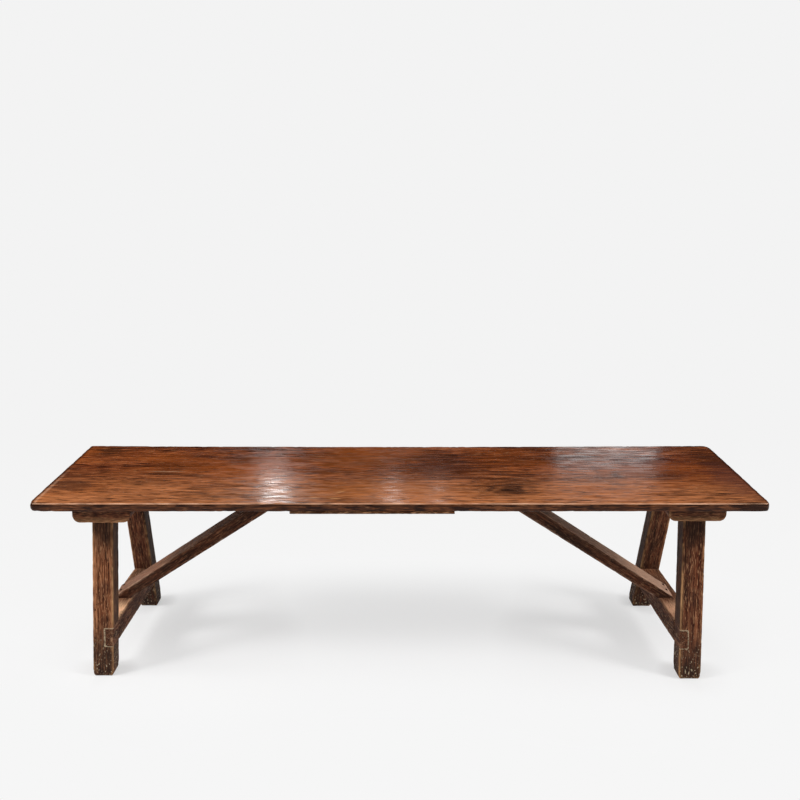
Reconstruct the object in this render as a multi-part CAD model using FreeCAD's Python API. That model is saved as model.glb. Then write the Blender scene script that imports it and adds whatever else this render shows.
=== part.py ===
import FreeCAD, Part
import math
import os

from FreeCAD import Vector

# A long refectory table: one wide plank on two splayed trestles, in millimetres.
# X runs along the table, Y from its front edge to its back edge, Z up from the floor.
# The origin is on the floor, below the middle of the top.

# The table as a whole
TABLE_LENGTH = 2860.0
TABLE_WIDTH = 780.0
TABLE_HEIGHT = 760.0

# Top plank, with its edges worn round
TOP_THICKNESS = 33.0
TOP_CORNER_RADIUS = 16.0
TOP_UPPER_ARRIS = 5.0
TOP_LOWER_ARRIS = 3.0

# Strip nailed under the front edge
BATTEN_LENGTH = 638.0
BATTEN_THICKNESS = 10.5
BATTEN_DEPTH = 45.0
BATTEN_SETBACK = 2.0
BATTEN_CENTRE_X = -105.0
BATTEN_NAIL_COUNT = 5

# Bearers across the underside, one over each pair of legs
END_OVERHANG = 152.0
BEARER_SETBACK = 40.0
BEARER_WIDTH = 226.0
LEFT_BEARER_THICKNESS = 62.0
RIGHT_BEARER_THICKNESS = 56.0
BEARER_LOWER_ROUND = 29.0
BEARER_END_ARRIS = 4.0

# Wooden pegs that hold the top down on the bearers, blind in the top
BEARER_PEG_DIAMETER = 16.0
BEARER_PEG_GRIP = 20.0
BEARER_PEG_SIDE_MARGIN = 40.0
BEARER_PEG_END_MARGIN = 60.0

# Legs, square in plan and splayed towards the front and the back
LEFT_LEG_WIDTH = 84.0
RIGHT_LEG_WIDTH = 91.0
LEG_DEPTH = 84.0
LEFT_FRONT_LEG_OUTSET = 23.0
RIGHT_FRONT_LEG_OUTSET = 17.0
BACK_LEG_OUTSET = 35.5
LEG_HEAD_SETBACK = 88.0
LEG_FOOT_SETBACK = 26.0
LEG_ARRIS = 6.0
FOOT_CHAMFER = 5.0

# How far each foot stands outwards of its leg's head, as the old legs have settled
LEFT_FRONT_FOOT_OUT = 19.0
LEFT_BACK_FOOT_OUT = -17.0
RIGHT_FRONT_FOOT_OUT = -6.0
RIGHT_BACK_FOOT_OUT = -58.0

# How much further than its setback each foot is splayed to the front or the back
LEFT_FRONT_FOOT_SPLAY = -14.0
LEFT_BACK_FOOT_SPLAY = 5.0
RIGHT_FRONT_FOOT_SPLAY = 10.0
RIGHT_BACK_FOOT_SPLAY = 0.0

# Through tenon on each leg's head, and the wedge that spreads it in the bearer
LEG_TENON_WIDTH = 48.0
LEG_TENON_DEPTH = 44.0
WEDGE_THICKNESS = 9.0
WEDGE_TIP = 2.0
WEDGE_LENGTH = 42.0

# Low stretchers, as wide as the legs and lapped into their inner sides
STRETCHER_UNDERSIDE = 116.0
STRETCHER_HEIGHT = 91.0
STRETCHER_ARRIS = 4.0
LAP_THICKNESS = 34.0
LAP_SHOULDER = 8.0

# Wooden peg through each lap
LAP_PEG_DIAMETER = 13.0
LAP_PEG_LENGTH = 62.0
LAP_PEG_PROUD = 1.5

# Diagonal braces, set on the flat from the stretchers up to the top
BRACE_WIDTH = 118.0
BRACE_ARRIS = 4.0
BRACE_FOOT_LENGTH = 71.0
BRACE_NOSE = 10.0
LEFT_BRACE_FOOT_INSET = 6.0
RIGHT_BRACE_FOOT_INSET = 32.0
BRACE_HEAD_LENGTH = 103.0
LEFT_BRACE_HEAD_X = 365.0
RIGHT_BRACE_HEAD_X = 311.0

# Forged nails with square shanks and faceted heads
NAIL_SHANK = 6.0
NAIL_TIP = 2.5
NAIL_HEAD_DIAMETER = 15.0
NAIL_HEAD_CROWN = 5.0
NAIL_HEAD_HEIGHT = 4.0
NAIL_HEAD_SIDES = 8
NAIL_SPREAD = 52.0
BRACE_HEAD_NAIL_GRIP = 22.0
BRACE_FOOT_NAIL_GRIP = 30.0
BATTEN_NAIL_GRIP = 16.0
BATTEN_NAIL_END_MARGIN = 40.0

# How far a cutting tool runs past the wood
CUT_OVERRUN = 20.0

# Places that follow from the sizes above
BEARER_LENGTH = TABLE_WIDTH - 2 * BEARER_SETBACK
BEARER_CENTRE = TABLE_LENGTH / 2 - END_OVERHANG - BEARER_WIDTH / 2
LEG_HEAD_Y = BEARER_LENGTH / 2 - LEG_HEAD_SETBACK - LEG_DEPTH / 2
LEG_FOOT_Y = TABLE_WIDTH / 2 - LEG_FOOT_SETBACK - LEG_DEPTH / 2
TOP_UNDERSIDE = TABLE_HEIGHT - TOP_THICKNESS
STRETCHER_TOP = STRETCHER_UNDERSIDE + STRETCHER_HEIGHT
STRETCHER_MIDDLE = STRETCHER_UNDERSIDE + STRETCHER_HEIGHT / 2

# Directions of the two trestles along X and of the two legs of each along Y
SIDES = {"left": -1, "right": 1}
ENDS = {"front": -1, "back": 1}
BEARER_THICKNESS = {"left": LEFT_BEARER_THICKNESS, "right": RIGHT_BEARER_THICKNESS}
BEARER_UNDERSIDE = {side: TOP_UNDERSIDE - thickness for side, thickness in BEARER_THICKNESS.items()}
LEG_WIDTH = {"left": LEFT_LEG_WIDTH, "right": RIGHT_LEG_WIDTH}
LEG_OUTSET = {
    ("left", "front"): LEFT_FRONT_LEG_OUTSET,
    ("left", "back"): BACK_LEG_OUTSET,
    ("right", "front"): RIGHT_FRONT_LEG_OUTSET,
    ("right", "back"): BACK_LEG_OUTSET,
}
FOOT_OUT = {
    ("left", "front"): LEFT_FRONT_FOOT_OUT,
    ("left", "back"): LEFT_BACK_FOOT_OUT,
    ("right", "front"): RIGHT_FRONT_FOOT_OUT,
    ("right", "back"): RIGHT_BACK_FOOT_OUT,
}
FOOT_SPLAY = {
    ("left", "front"): LEFT_FRONT_FOOT_SPLAY,
    ("left", "back"): LEFT_BACK_FOOT_SPLAY,
    ("right", "front"): RIGHT_FRONT_FOOT_SPLAY,
    ("right", "back"): RIGHT_BACK_FOOT_SPLAY,
}
BRACE_HEAD_X = {"left": LEFT_BRACE_HEAD_X, "right": RIGHT_BRACE_HEAD_X}
BRACE_FOOT_INSET = {"left": LEFT_BRACE_FOOT_INSET, "right": RIGHT_BRACE_FOOT_INSET}


def block(x_size, y_size, z_size, centre, base_z):
    """Upright block about a plan centre, standing at a height."""
    corner = Vector(centre.x - x_size / 2, centre.y - y_size / 2, base_z)
    return Part.makeBox(x_size, y_size, z_size, corner)


def level_rectangle(centre, x_size, y_size):
    """Corners of a level rectangle about its centre, in turn."""
    corners = []
    for x_sign, y_sign in ((-1, -1), (1, -1), (1, 1), (-1, 1)):
        corners.append(centre + Vector(x_sign * x_size / 2, y_sign * y_size / 2, 0))
    return corners


def solid_between(lower, upper):
    """Solid with flat faces between two level outlines of as many corners."""
    count = len(lower)
    outlines = [lower[::-1], upper]
    for index in range(count):
        after = (index + 1) % count
        outlines.append([lower[index], lower[after], upper[after], upper[index]])
    faces = [Part.Face(Part.makePolygon(corners + [corners[0]])) for corners in outlines]
    return Part.makeSolid(Part.makeShell(faces))


def slanted_bar(low, high, x_size, y_size, top_y_size=None):
    """Bar with level ends whose centre line runs from a low point to a high one."""
    lower = level_rectangle(low, x_size, y_size)
    upper = level_rectangle(high, x_size, top_y_size or y_size)
    return solid_between(lower, upper)


def prism(points, direction):
    """Solid swept straight from a flat outline."""
    outline = Part.makePolygon(points + [points[0]])
    return Part.Face(outline).extrude(direction)


def edges_along(shape, direction):
    """Straight edges of a shape that run along a direction."""
    found = []
    for edge in shape.Edges:
        if edge.Curve.TypeId != "Part::GeomLine":
            continue
        if edge.tangentAt(edge.FirstParameter).cross(direction.normalize()).Length < 1e-4:
            found.append(edge)
    return found


def edges_at_height(shape, height):
    """Edges of a shape that lie at one height."""
    found = []
    for edge in shape.Edges:
        if max(abs(vertex.Z - height) for vertex in edge.Vertexes) < 1e-4:
            found.append(edge)
    return found


def leg_point(side, end, height):
    """Point on a leg's centre line, on past its head into the bearer."""
    head_x = SIDES[side] * (BEARER_CENTRE + LEG_OUTSET[side, end])
    foot_x = head_x + SIDES[side] * FOOT_OUT[side, end]
    head_y = ENDS[end] * LEG_HEAD_Y
    foot_y = ENDS[end] * (LEG_FOOT_Y + FOOT_SPLAY[side, end])
    rise = height / BEARER_UNDERSIDE[side]
    return Vector(foot_x + (head_x - foot_x) * rise, foot_y + (head_y - foot_y) * rise, height)


def leg_blank(side, end, extra_width=0):
    """Square-edged leg from the floor to the bearer's underside."""
    foot = leg_point(side, end, 0)
    head = leg_point(side, end, BEARER_UNDERSIDE[side])
    return slanted_bar(foot, head, LEG_WIDTH[side] + extra_width, LEG_DEPTH)


def worn_leg(side, end):
    """Leg with its long edges worn round and its foot chamfered."""
    blank = leg_blank(side, end)
    axis = leg_point(side, end, BEARER_UNDERSIDE[side]) - leg_point(side, end, 0)
    footed = blank.makeChamfer(FOOT_CHAMFER, edges_at_height(blank, 0))
    return footed.makeFillet(LEG_ARRIS, edges_along(footed, axis))


def leg_tenon(side, end):
    """Tenon that runs on from a leg's head through its bearer."""
    low = leg_point(side, end, BEARER_UNDERSIDE[side])
    high = leg_point(side, end, TOP_UNDERSIDE)
    return slanted_bar(low, high, LEG_TENON_WIDTH, LEG_TENON_DEPTH)


def leg_wedge(side, end):
    """Wedge driven into the tenon's end across the bearer's grain."""
    low = leg_point(side, end, TOP_UNDERSIDE - WEDGE_LENGTH)
    high = leg_point(side, end, TOP_UNDERSIDE)
    return slanted_bar(low, high, LEG_TENON_WIDTH, WEDGE_TIP, WEDGE_THICKNESS)


def stretcher_plan(side, inner, outer, overrun):
    """Plan corners of a strip that follows a stretcher, between two offsets from its middle."""
    front = leg_point(side, "front", STRETCHER_MIDDLE)
    back = leg_point(side, "back", STRETCHER_MIDDLE)
    along = (back - front).normalize() * overrun
    corners = []
    for point, offset in ((front - along, inner), (front - along, outer),
                          (back + along, outer), (back + along, inner)):
        corners.append(point + Vector(SIDES[side] * offset, 0, 0))
    return corners


def level_strip(corners, low, high):
    """Strip of a plan outline between two heights."""
    base = [Vector(corner.x, corner.y, low) for corner in corners]
    return prism(base, Vector(0, 0, high - low))


def lap_tool(side):
    """Strip that both laps of a stretcher lie in, open on the legs' inner sides."""
    inner = -LEG_WIDTH[side] / 2 - CUT_OVERRUN
    outer = -LEG_WIDTH[side] / 2 + LAP_THICKNESS
    corners = stretcher_plan(side, inner, outer, LEG_DEPTH)
    return level_strip(corners, STRETCHER_UNDERSIDE + LAP_SHOULDER, STRETCHER_TOP - LAP_SHOULDER)


def inner_half_leg(side, end):
    """Square-edged half of a leg on the stretcher's side."""
    shift = Vector(0, -ENDS[end] * LEG_DEPTH / 4, 0)
    foot = leg_point(side, end, 0) + shift
    head = leg_point(side, end, BEARER_UNDERSIDE[side]) + shift
    return slanted_bar(foot, head, LEG_WIDTH[side], LEG_DEPTH / 2)


def make_stretcher(side):
    """Stretcher shouldered between its legs, with a bare-faced lap through each leg."""
    half = LEG_WIDTH[side] / 2
    bar = level_strip(stretcher_plan(side, -half, half, 0), STRETCHER_UNDERSIDE, STRETCHER_TOP)
    front = leg_point(side, "front", STRETCHER_MIDDLE)
    back = leg_point(side, "back", STRETCHER_MIDDLE)
    bar = bar.makeChamfer(STRETCHER_ARRIS, edges_along(bar, back - front))
    laps = []
    for end in ENDS:
        bar = bar.cut(leg_blank(side, end, LEG_WIDTH[side]))
        seat = worn_leg(side, end).fuse(inner_half_leg(side, end))
        laps.append(lap_tool(side).common(seat))
    return bar.fuse(laps).removeSplitter()


def make_leg(side, end):
    """Leg with its head tenon, kerfed for the wedge and notched for the stretcher's lap."""
    leg = worn_leg(side, end).fuse(leg_tenon(side, end)).removeSplitter()
    return leg.cut(leg_wedge(side, end)).cut(lap_tool(side))


def lap_peg(side, end):
    """Peg driven through a lap from the leg's inner side."""
    centre = leg_point(side, end, STRETCHER_MIDDLE)
    start = centre - Vector(SIDES[side] * (LEG_WIDTH[side] / 2 + LAP_PEG_PROUD), 0, 0)
    return Part.makeCylinder(LAP_PEG_DIAMETER / 2, LAP_PEG_LENGTH, start, Vector(SIDES[side], 0, 0))


def make_bearer(side):
    """Bearer with rounded lower edges, mortised for both legs."""
    half = BEARER_WIDTH / 2
    flat = half - BEARER_LOWER_ROUND
    underside = BEARER_UNDERSIDE[side]
    waist = underside + BEARER_LOWER_ROUND
    bend = BEARER_LOWER_ROUND * 0.5 ** 0.5
    front = -BEARER_LENGTH / 2
    middle = Vector(SIDES[side] * BEARER_CENTRE, front, 0)
    outline = []
    for x, z in ((-half, TOP_UNDERSIDE), (half, TOP_UNDERSIDE), (half, waist), (flat, underside),
                 (-flat, underside), (-half, waist)):
        outline.append(middle + Vector(x, 0, z))
    right_bend = middle + Vector(flat + bend, 0, waist - bend)
    left_bend = middle + Vector(-flat - bend, 0, waist - bend)
    edges = [
        Part.makeLine(outline[0], outline[1]),
        Part.makeLine(outline[1], outline[2]),
        Part.Arc(outline[2], right_bend, outline[3]).toShape(),
        Part.makeLine(outline[3], outline[4]),
        Part.Arc(outline[4], left_bend, outline[5]).toShape(),
        Part.makeLine(outline[5], outline[0]),
    ]
    bearer = Part.Face(Part.Wire(edges)).extrude(Vector(0, BEARER_LENGTH, 0))
    bearer = bearer.makeChamfer(BEARER_END_ARRIS, bearer_end_edges(bearer))
    for end in ENDS:
        bearer = bearer.cut(leg_tenon(side, end))
    return bearer


def bearer_end_edges(bearer):
    """Edges round a bearer's two ends, apart from those against the top."""
    found = []
    for edge in bearer.Edges:
        at_end = max(abs(abs(vertex.Y) - BEARER_LENGTH / 2) for vertex in edge.Vertexes) < 1e-4
        same_end = edge.Vertexes[0].Y * edge.Vertexes[-1].Y > 0
        on_top = min(vertex.Z for vertex in edge.Vertexes) > TOP_UNDERSIDE - 1e-4
        if at_end and same_end and not on_top:
            found.append(edge)
    return found


def bearer_pegs(side):
    """Upright pegs through a bearer into the top."""
    pegs = []
    for x_sign in (-1, 1):
        for y_sign in (-1, 1):
            x = SIDES[side] * BEARER_CENTRE + x_sign * (BEARER_WIDTH / 2 - BEARER_PEG_SIDE_MARGIN)
            y = y_sign * (BEARER_LENGTH / 2 - BEARER_PEG_END_MARGIN)
            foot = Vector(x, y, BEARER_UNDERSIDE[side])
            length = BEARER_THICKNESS[side] + BEARER_PEG_GRIP
            pegs.append(Part.makeCylinder(BEARER_PEG_DIAMETER / 2, length, foot))
    return pegs


def brace_outline(side):
    """Corners of a brace in the table's long section: foot outer and inner, head inner and outer, nose."""
    sign = SIDES[side]
    middle = leg_point(side, "front", STRETCHER_MIDDLE) + leg_point(side, "back", STRETCHER_MIDDLE)
    foot_outer = abs(middle.x) / 2 + LEG_WIDTH[side] / 2 - BRACE_FOOT_INSET[side]
    foot_inner = foot_outer - BRACE_FOOT_LENGTH
    head_inner = BRACE_HEAD_X[side]
    head_outer = head_inner + BRACE_HEAD_LENGTH
    corners = []
    for x, z in ((foot_outer, STRETCHER_TOP), (foot_inner, STRETCHER_TOP), (head_inner, TOP_UNDERSIDE),
                 (head_outer, TOP_UNDERSIDE), (foot_outer, STRETCHER_TOP + BRACE_NOSE)):
        corners.append(Vector(sign * x, 0, z))
    return corners


def make_brace(side):
    """Brace with level seats cut on its foot and head, and a short upright nose on its foot."""
    foot_outer, foot_inner, head_inner, head_outer, nose = outline = brace_outline(side)
    near = [corner - Vector(0, BRACE_WIDTH / 2, 0) for corner in outline]
    brace = prism(near, Vector(0, BRACE_WIDTH, 0))
    for low, high in ((nose, head_outer), (foot_inner, head_inner)):
        brace = brace.makeChamfer(BRACE_ARRIS, edges_along(brace, high - low))
    return brace


def nail(seat, direction, length):
    """Forged nail whose head sits at a point and whose tapered shank runs along a direction."""
    tip = level_rectangle(Vector(0, 0, -length), NAIL_TIP, NAIL_TIP)
    neck = level_rectangle(Vector(0, 0, 0), NAIL_SHANK, NAIL_SHANK)
    rim = regular_outline(NAIL_HEAD_DIAMETER / 2, 0)
    crown = regular_outline(NAIL_HEAD_CROWN / 2, NAIL_HEAD_HEIGHT)
    whole = solid_between(tip, neck).fuse(solid_between(rim, crown))
    whole.Placement = FreeCAD.Placement(seat, FreeCAD.Rotation(Vector(0, 0, -1), direction))
    return whole


def regular_outline(radius, height):
    """Corners of a level polygon with the nail head's number of sides."""
    corners = []
    for index in range(NAIL_HEAD_SIDES):
        turn = 2 * math.pi * index / NAIL_HEAD_SIDES
        corners.append(Vector(radius * math.cos(turn), radius * math.sin(turn), height))
    return corners


def brace_nails(seat_ends, face_ends, grip):
    """Pair of nails square to a brace's face, through the middle of one of its seats."""
    crossing = (seat_ends[0] + seat_ends[1]) * 0.5
    along = (face_ends[1] - face_ends[0]).normalize()
    on_face = face_ends[0] + along * (crossing - face_ends[0]).dot(along)
    direction = (crossing - on_face).normalize()
    length = (crossing - on_face).Length + grip
    nails = []
    for y_sign in (-1, 1):
        nails.append(nail(on_face + Vector(0, y_sign * NAIL_SPREAD / 2, 0), direction, length))
    return nails


def brace_head_nails(side):
    """Nails up through a brace's under face into the top."""
    foot_outer, foot_inner, head_inner, head_outer, nose = brace_outline(side)
    return brace_nails((head_inner, head_outer), (head_inner, foot_inner), BRACE_HEAD_NAIL_GRIP)


def brace_foot_nails(side):
    """Nails down through a brace's upper face into the stretcher."""
    foot_outer, foot_inner, head_inner, head_outer, nose = brace_outline(side)
    return brace_nails((foot_inner, foot_outer), (nose, head_outer), BRACE_FOOT_NAIL_GRIP)


def make_top():
    """Plank with rounded corners and worn edges."""
    plank = block(TABLE_LENGTH, TABLE_WIDTH, TOP_THICKNESS, Vector(0, 0, 0), TOP_UNDERSIDE)
    plank = plank.makeFillet(TOP_CORNER_RADIUS, edges_along(plank, Vector(0, 0, 1)))
    plank = plank.makeFillet(TOP_UPPER_ARRIS, edges_at_height(plank, TABLE_HEIGHT))
    return plank.makeFillet(TOP_LOWER_ARRIS, edges_at_height(plank, TOP_UNDERSIDE))


def batten_centre():
    """Plan centre of the strip under the front edge."""
    return Vector(BATTEN_CENTRE_X, -TABLE_WIDTH / 2 + BATTEN_SETBACK + BATTEN_DEPTH / 2, 0)


def make_batten():
    """Thin strip against the top's underside."""
    return block(BATTEN_LENGTH, BATTEN_DEPTH, BATTEN_THICKNESS, batten_centre(),
                 TOP_UNDERSIDE - BATTEN_THICKNESS)


def batten_nails():
    """Row of nails up through the strip into the top."""
    nails = []
    span = BATTEN_LENGTH - 2 * BATTEN_NAIL_END_MARGIN
    for index in range(BATTEN_NAIL_COUNT):
        offset = span * (index / (BATTEN_NAIL_COUNT - 1) - 0.5)
        seat = batten_centre() + Vector(offset, 0, TOP_UNDERSIDE - BATTEN_THICKNESS)
        nails.append(nail(seat, Vector(0, 0, 1), BATTEN_THICKNESS + BATTEN_NAIL_GRIP))
    return nails


def cut_all(shape, tools):
    """Shape with every tool cut from it."""
    for tool in tools:
        shape = shape.cut(tool)
    return shape


def make_table():
    """Every piece of the table by its node's name."""
    nodes = {"batten_nails": batten_nails()}
    nodes["front_batten"] = [cut_all(make_batten(), nodes["batten_nails"])]
    into_top = list(nodes["batten_nails"])
    for side in SIDES:
        pegs = bearer_pegs(side)
        head_nails = brace_head_nails(side)
        foot_nails = brace_foot_nails(side)
        lap_pegs = [lap_peg(side, end) for end in ENDS]
        for end in ENDS:
            nodes[f"{side}_{end}_leg"] = [cut_all(make_leg(side, end), lap_pegs)]
        nodes[f"{side}_leg_wedges"] = [leg_wedge(side, end) for end in ENDS]
        nodes[f"{side}_bearer"] = [cut_all(make_bearer(side), pegs)]
        nodes[f"{side}_bearer_pegs"] = pegs
        nodes[f"{side}_stretcher"] = [cut_all(make_stretcher(side), lap_pegs + foot_nails)]
        nodes[f"{side}_lap_pegs"] = lap_pegs
        nodes[f"{side}_brace"] = [cut_all(make_brace(side), head_nails + foot_nails)]
        nodes[f"{side}_brace_head_nails"] = head_nails
        nodes[f"{side}_brace_foot_nails"] = foot_nails
        into_top += pegs + head_nails
    nodes["top_plank"] = [cut_all(make_top(), into_top)]
    return nodes


os.makedirs("parts", exist_ok=True)
for name, pieces in make_table().items():
    solids = [solid for piece in pieces for solid in piece.Solids]
    shape = solids[0] if len(solids) == 1 else Part.makeCompound(solids)
    print(name, len(solids), shape.isValid(), round(shape.Volume))
    shape.exportStep(f"parts/{name}.step")
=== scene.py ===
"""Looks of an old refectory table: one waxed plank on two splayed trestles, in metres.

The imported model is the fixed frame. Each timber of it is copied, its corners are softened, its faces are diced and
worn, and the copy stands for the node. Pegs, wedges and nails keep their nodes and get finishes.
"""
from __future__ import annotations

import logging
import math
from dataclasses import dataclass
from enum import Enum

import bmesh
import bpy
from mathutils import Euler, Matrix, Vector, geometry, noise

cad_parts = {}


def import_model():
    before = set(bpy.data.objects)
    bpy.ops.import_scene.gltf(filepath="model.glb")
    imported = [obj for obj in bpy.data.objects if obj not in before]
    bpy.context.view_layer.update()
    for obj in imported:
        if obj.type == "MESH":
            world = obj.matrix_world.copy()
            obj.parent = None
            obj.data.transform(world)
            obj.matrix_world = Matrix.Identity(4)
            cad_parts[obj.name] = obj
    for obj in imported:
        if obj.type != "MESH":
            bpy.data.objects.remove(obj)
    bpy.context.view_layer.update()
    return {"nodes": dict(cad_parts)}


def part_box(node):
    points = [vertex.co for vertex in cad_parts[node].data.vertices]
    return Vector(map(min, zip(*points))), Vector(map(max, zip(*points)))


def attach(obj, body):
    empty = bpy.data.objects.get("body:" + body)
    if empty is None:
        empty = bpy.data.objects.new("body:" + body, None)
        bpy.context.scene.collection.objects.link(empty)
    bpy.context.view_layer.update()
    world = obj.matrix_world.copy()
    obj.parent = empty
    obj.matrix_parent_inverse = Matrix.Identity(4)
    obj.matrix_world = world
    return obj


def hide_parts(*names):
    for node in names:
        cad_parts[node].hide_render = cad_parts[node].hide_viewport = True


LOG = logging.getLogger("refectory_table")

MM = 0.001
IMAGE_SIDE = 800
BODY = "root"
RUB_AND_HIGHLIGHT = "rub_and_highlight"
DIRT_AND_SHADE = "dirt_and_shade"
SEAM = "seam"

COORDINATES = "ShaderNodeTexCoord"
MAPPING = "ShaderNodeMapping"
NOISE = "ShaderNodeTexNoise"
RANGE = "ShaderNodeMapRange"
MATH = "ShaderNodeMath"
LENGTH = "ShaderNodeVectorMath"
SPLIT = "ShaderNodeSeparateXYZ"
MIX = "ShaderNodeMix"
ATTRIBUTE = "ShaderNodeAttribute"
BUMP = "ShaderNodeBump"
SHADER = "ShaderNodeBsdfPrincipled"
OUTPUT = "ShaderNodeOutputMaterial"
RGBA = {"data_type": "RGBA"}
COLOUR_OUT = 2
LEGS = ("left_front_leg", "left_back_leg", "right_front_leg", "right_back_leg")
FOOT_SHARE = 0.88
FACTOR_OUT = 2


def linear(colour: str) -> tuple[float, float, float, float]:
    """Turn an sRGB hex value into linear colour.

    Args:
        colour: Six hex digits after a hash sign.

    Returns:
        Linear red, green and blue, and full alpha.
    """
    channels = []
    for start in (1, 3, 5):
        value = int(colour[start:start + 2], 16) / 255
        channels.append(value / 12.92 if value <= 0.04045 else ((value + 0.055) / 1.055) ** 2.4)
    return (*channels, 1.0)


def add(tree: bpy.types.NodeTree, kind: str, settings: dict | None = None, inputs: dict | None = None,
        output: int | str = 0) -> bpy.types.NodeSocket | None:
    """Add a node with its settings and links.

    Args:
        tree: Node tree that gets the node.
        kind: Blender's name of the node's type.
        settings: Properties to set on the node.
        inputs: Values or sockets for the node's inputs, by name or number.
        output: Output to hand back, by name or number.

    Returns:
        The chosen output, or None where the node has no outputs.
    """
    node = tree.nodes.new(kind)
    for name, value in (settings or {}).items():
        setattr(node, name, value)
    for name, value in (inputs or {}).items():
        if isinstance(value, bpy.types.NodeSocket):
            tree.links.new(value, node.inputs[name])
        else:
            node.inputs[name].default_value = value
    return node.outputs[output] if len(node.outputs) else None


def smooth_step(value: float, low: float, high: float) -> float:
    """Ease from 0 at low to 1 at high."""
    share = min(max((value - low) / (high - low), 0.0), 1.0)
    return share * share * (3 - 2 * share)


def new_material(name: str) -> bpy.types.Material:
    """Make a material with an empty node tree."""
    material = bpy.data.materials.new(name)
    material.use_nodes = True
    material.node_tree.nodes.clear()
    return material


class Run(Enum):
    """World axis that a timber's grain mostly follows."""

    X = 0
    Y = 1
    Z = 2


class Side(Enum):
    """End of the table that a trestle stands at."""

    LEFT = "left"
    RIGHT = "right"


@dataclass(frozen=True)
class Grain:
    """Frame of a timber's grain, whose first axis runs along the fibres.

    Attributes:
        origin: Point that the patterns are counted from.
        turn: Rotation of the frame.
        wide: How much wider than thick the patterns' cells are.
    """

    origin: Vector
    turn: Euler
    wide: float = 1.0

    @staticmethod
    def between(start: Vector, end: Vector, seed: int, wide: float = 1.0) -> Grain:
        """Lay the fibres from one point to another.

        Args:
            start: First point of the timber's middle line.
            end: Second point.
            seed: Number that shifts the patterns, so that no two timbers match.
            wide: How much wider than thick the patterns' cells are.

        Returns:
            The frame.
        """
        turn = (end - start).to_track_quat("X", "Z").to_euler()
        return Grain(start - Vector((1.37, 0.61, 0.83)) * seed, turn, wide)

    def figure(self, tree: bpy.types.NodeTree, along_mm: float, across_mm: float, detail: float = 3.0,
               stir: float = 0.0) -> bpy.types.NodeSocket:
        """Lay a cloudy pattern whose cells have a real size.

        Args:
            tree: Node tree that gets the pattern.
            along_mm: Length of a cell along the fibres.
            across_mm: Thickness of a cell across them.
            detail: Finer layers of the pattern.
            stir: How far the pattern is stirred.

        Returns:
            The pattern's value, from 0 to 1.
        """
        place = add(tree, COORDINATES, None, None, "Object")
        own = add(tree, MAPPING, {"vector_type": "TEXTURE"}, {
            "Vector": place, "Location": self.origin, "Rotation": self.turn,
            "Scale": (along_mm * MM, across_mm * self.wide * MM, across_mm * MM)})
        return add(tree, NOISE, None, {"Vector": own, "Scale": 1.0, "Detail": detail, "Distortion": stir})


@dataclass(frozen=True)
class Mark:
    """Stain, knot or scratch at one place of the plank's surface.

    Attributes:
        x_mm: Its place along the table.
        y_mm: Its place across the table.
        long_mm: Half of its length.
        wide_mm: Half of its width.
        colour: Its colour.
        share: How much of the wood it hides.
        turn_deg: How far its length is turned from the grain.
        ragged: How far its outline wanders.
        rings: Rings from its middle to its rim, as in a knot.
    """

    x_mm: float
    y_mm: float
    long_mm: float
    wide_mm: float
    colour: str
    share: float
    turn_deg: float = 0.0
    ragged: float = 0.9
    rings: float = 0.0

    def over(self, tree: bpy.types.NodeTree, colour: bpy.types.NodeSocket, ripple: bpy.types.NodeSocket,
             height: float) -> bpy.types.NodeSocket:
        """Lay the mark over a colour.

        Args:
            tree: Node tree of the plank's material.
            colour: Colour below the mark.
            ripple: Pattern that its outline wanders by.
            height: Height of the surface.

        Returns:
            The colour with the mark on it.
        """
        place = add(tree, COORDINATES, None, None, "Object")
        own = add(tree, MAPPING, {"vector_type": "TEXTURE"}, {
            "Vector": place, "Location": (self.x_mm * MM, self.y_mm * MM, height),
            "Rotation": (0.0, 0.0, math.radians(self.turn_deg)),
            "Scale": (self.long_mm * MM, self.wide_mm * MM, 1.0)})
        away = add(tree, LENGTH, {"operation": "LENGTH"}, {0: own}, "Value")
        wander = add(tree, RANGE, None, {0: ripple, 1: 0.25, 2: 0.75, 3: -self.ragged, 4: self.ragged})
        edge = add(tree, MATH, {"operation": "ADD"}, {0: away, 1: wander})
        amount = add(tree, RANGE, {"interpolation_type": "SMOOTHSTEP"}, {0: edge, 1: 1.25, 2: 0.25, 3: 0.0, 4: self.share})
        if self.rings:
            turns = add(tree, MATH, {"operation": "MULTIPLY"}, {0: edge, 1: math.tau * self.rings})
            wave = add(tree, MATH, {"operation": "SINE"}, {0: turns})
            ring = add(tree, RANGE, None, {0: wave, 1: -1.0, 2: 1.0, 3: 0.4, 4: 1.0})
            amount = add(tree, MATH, {"operation": "MULTIPLY"}, {0: amount, 1: ring})
        return add(tree, MIX, RGBA, {0: amount, 6: colour, 7: linear(self.colour)}, COLOUR_OUT)


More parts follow.
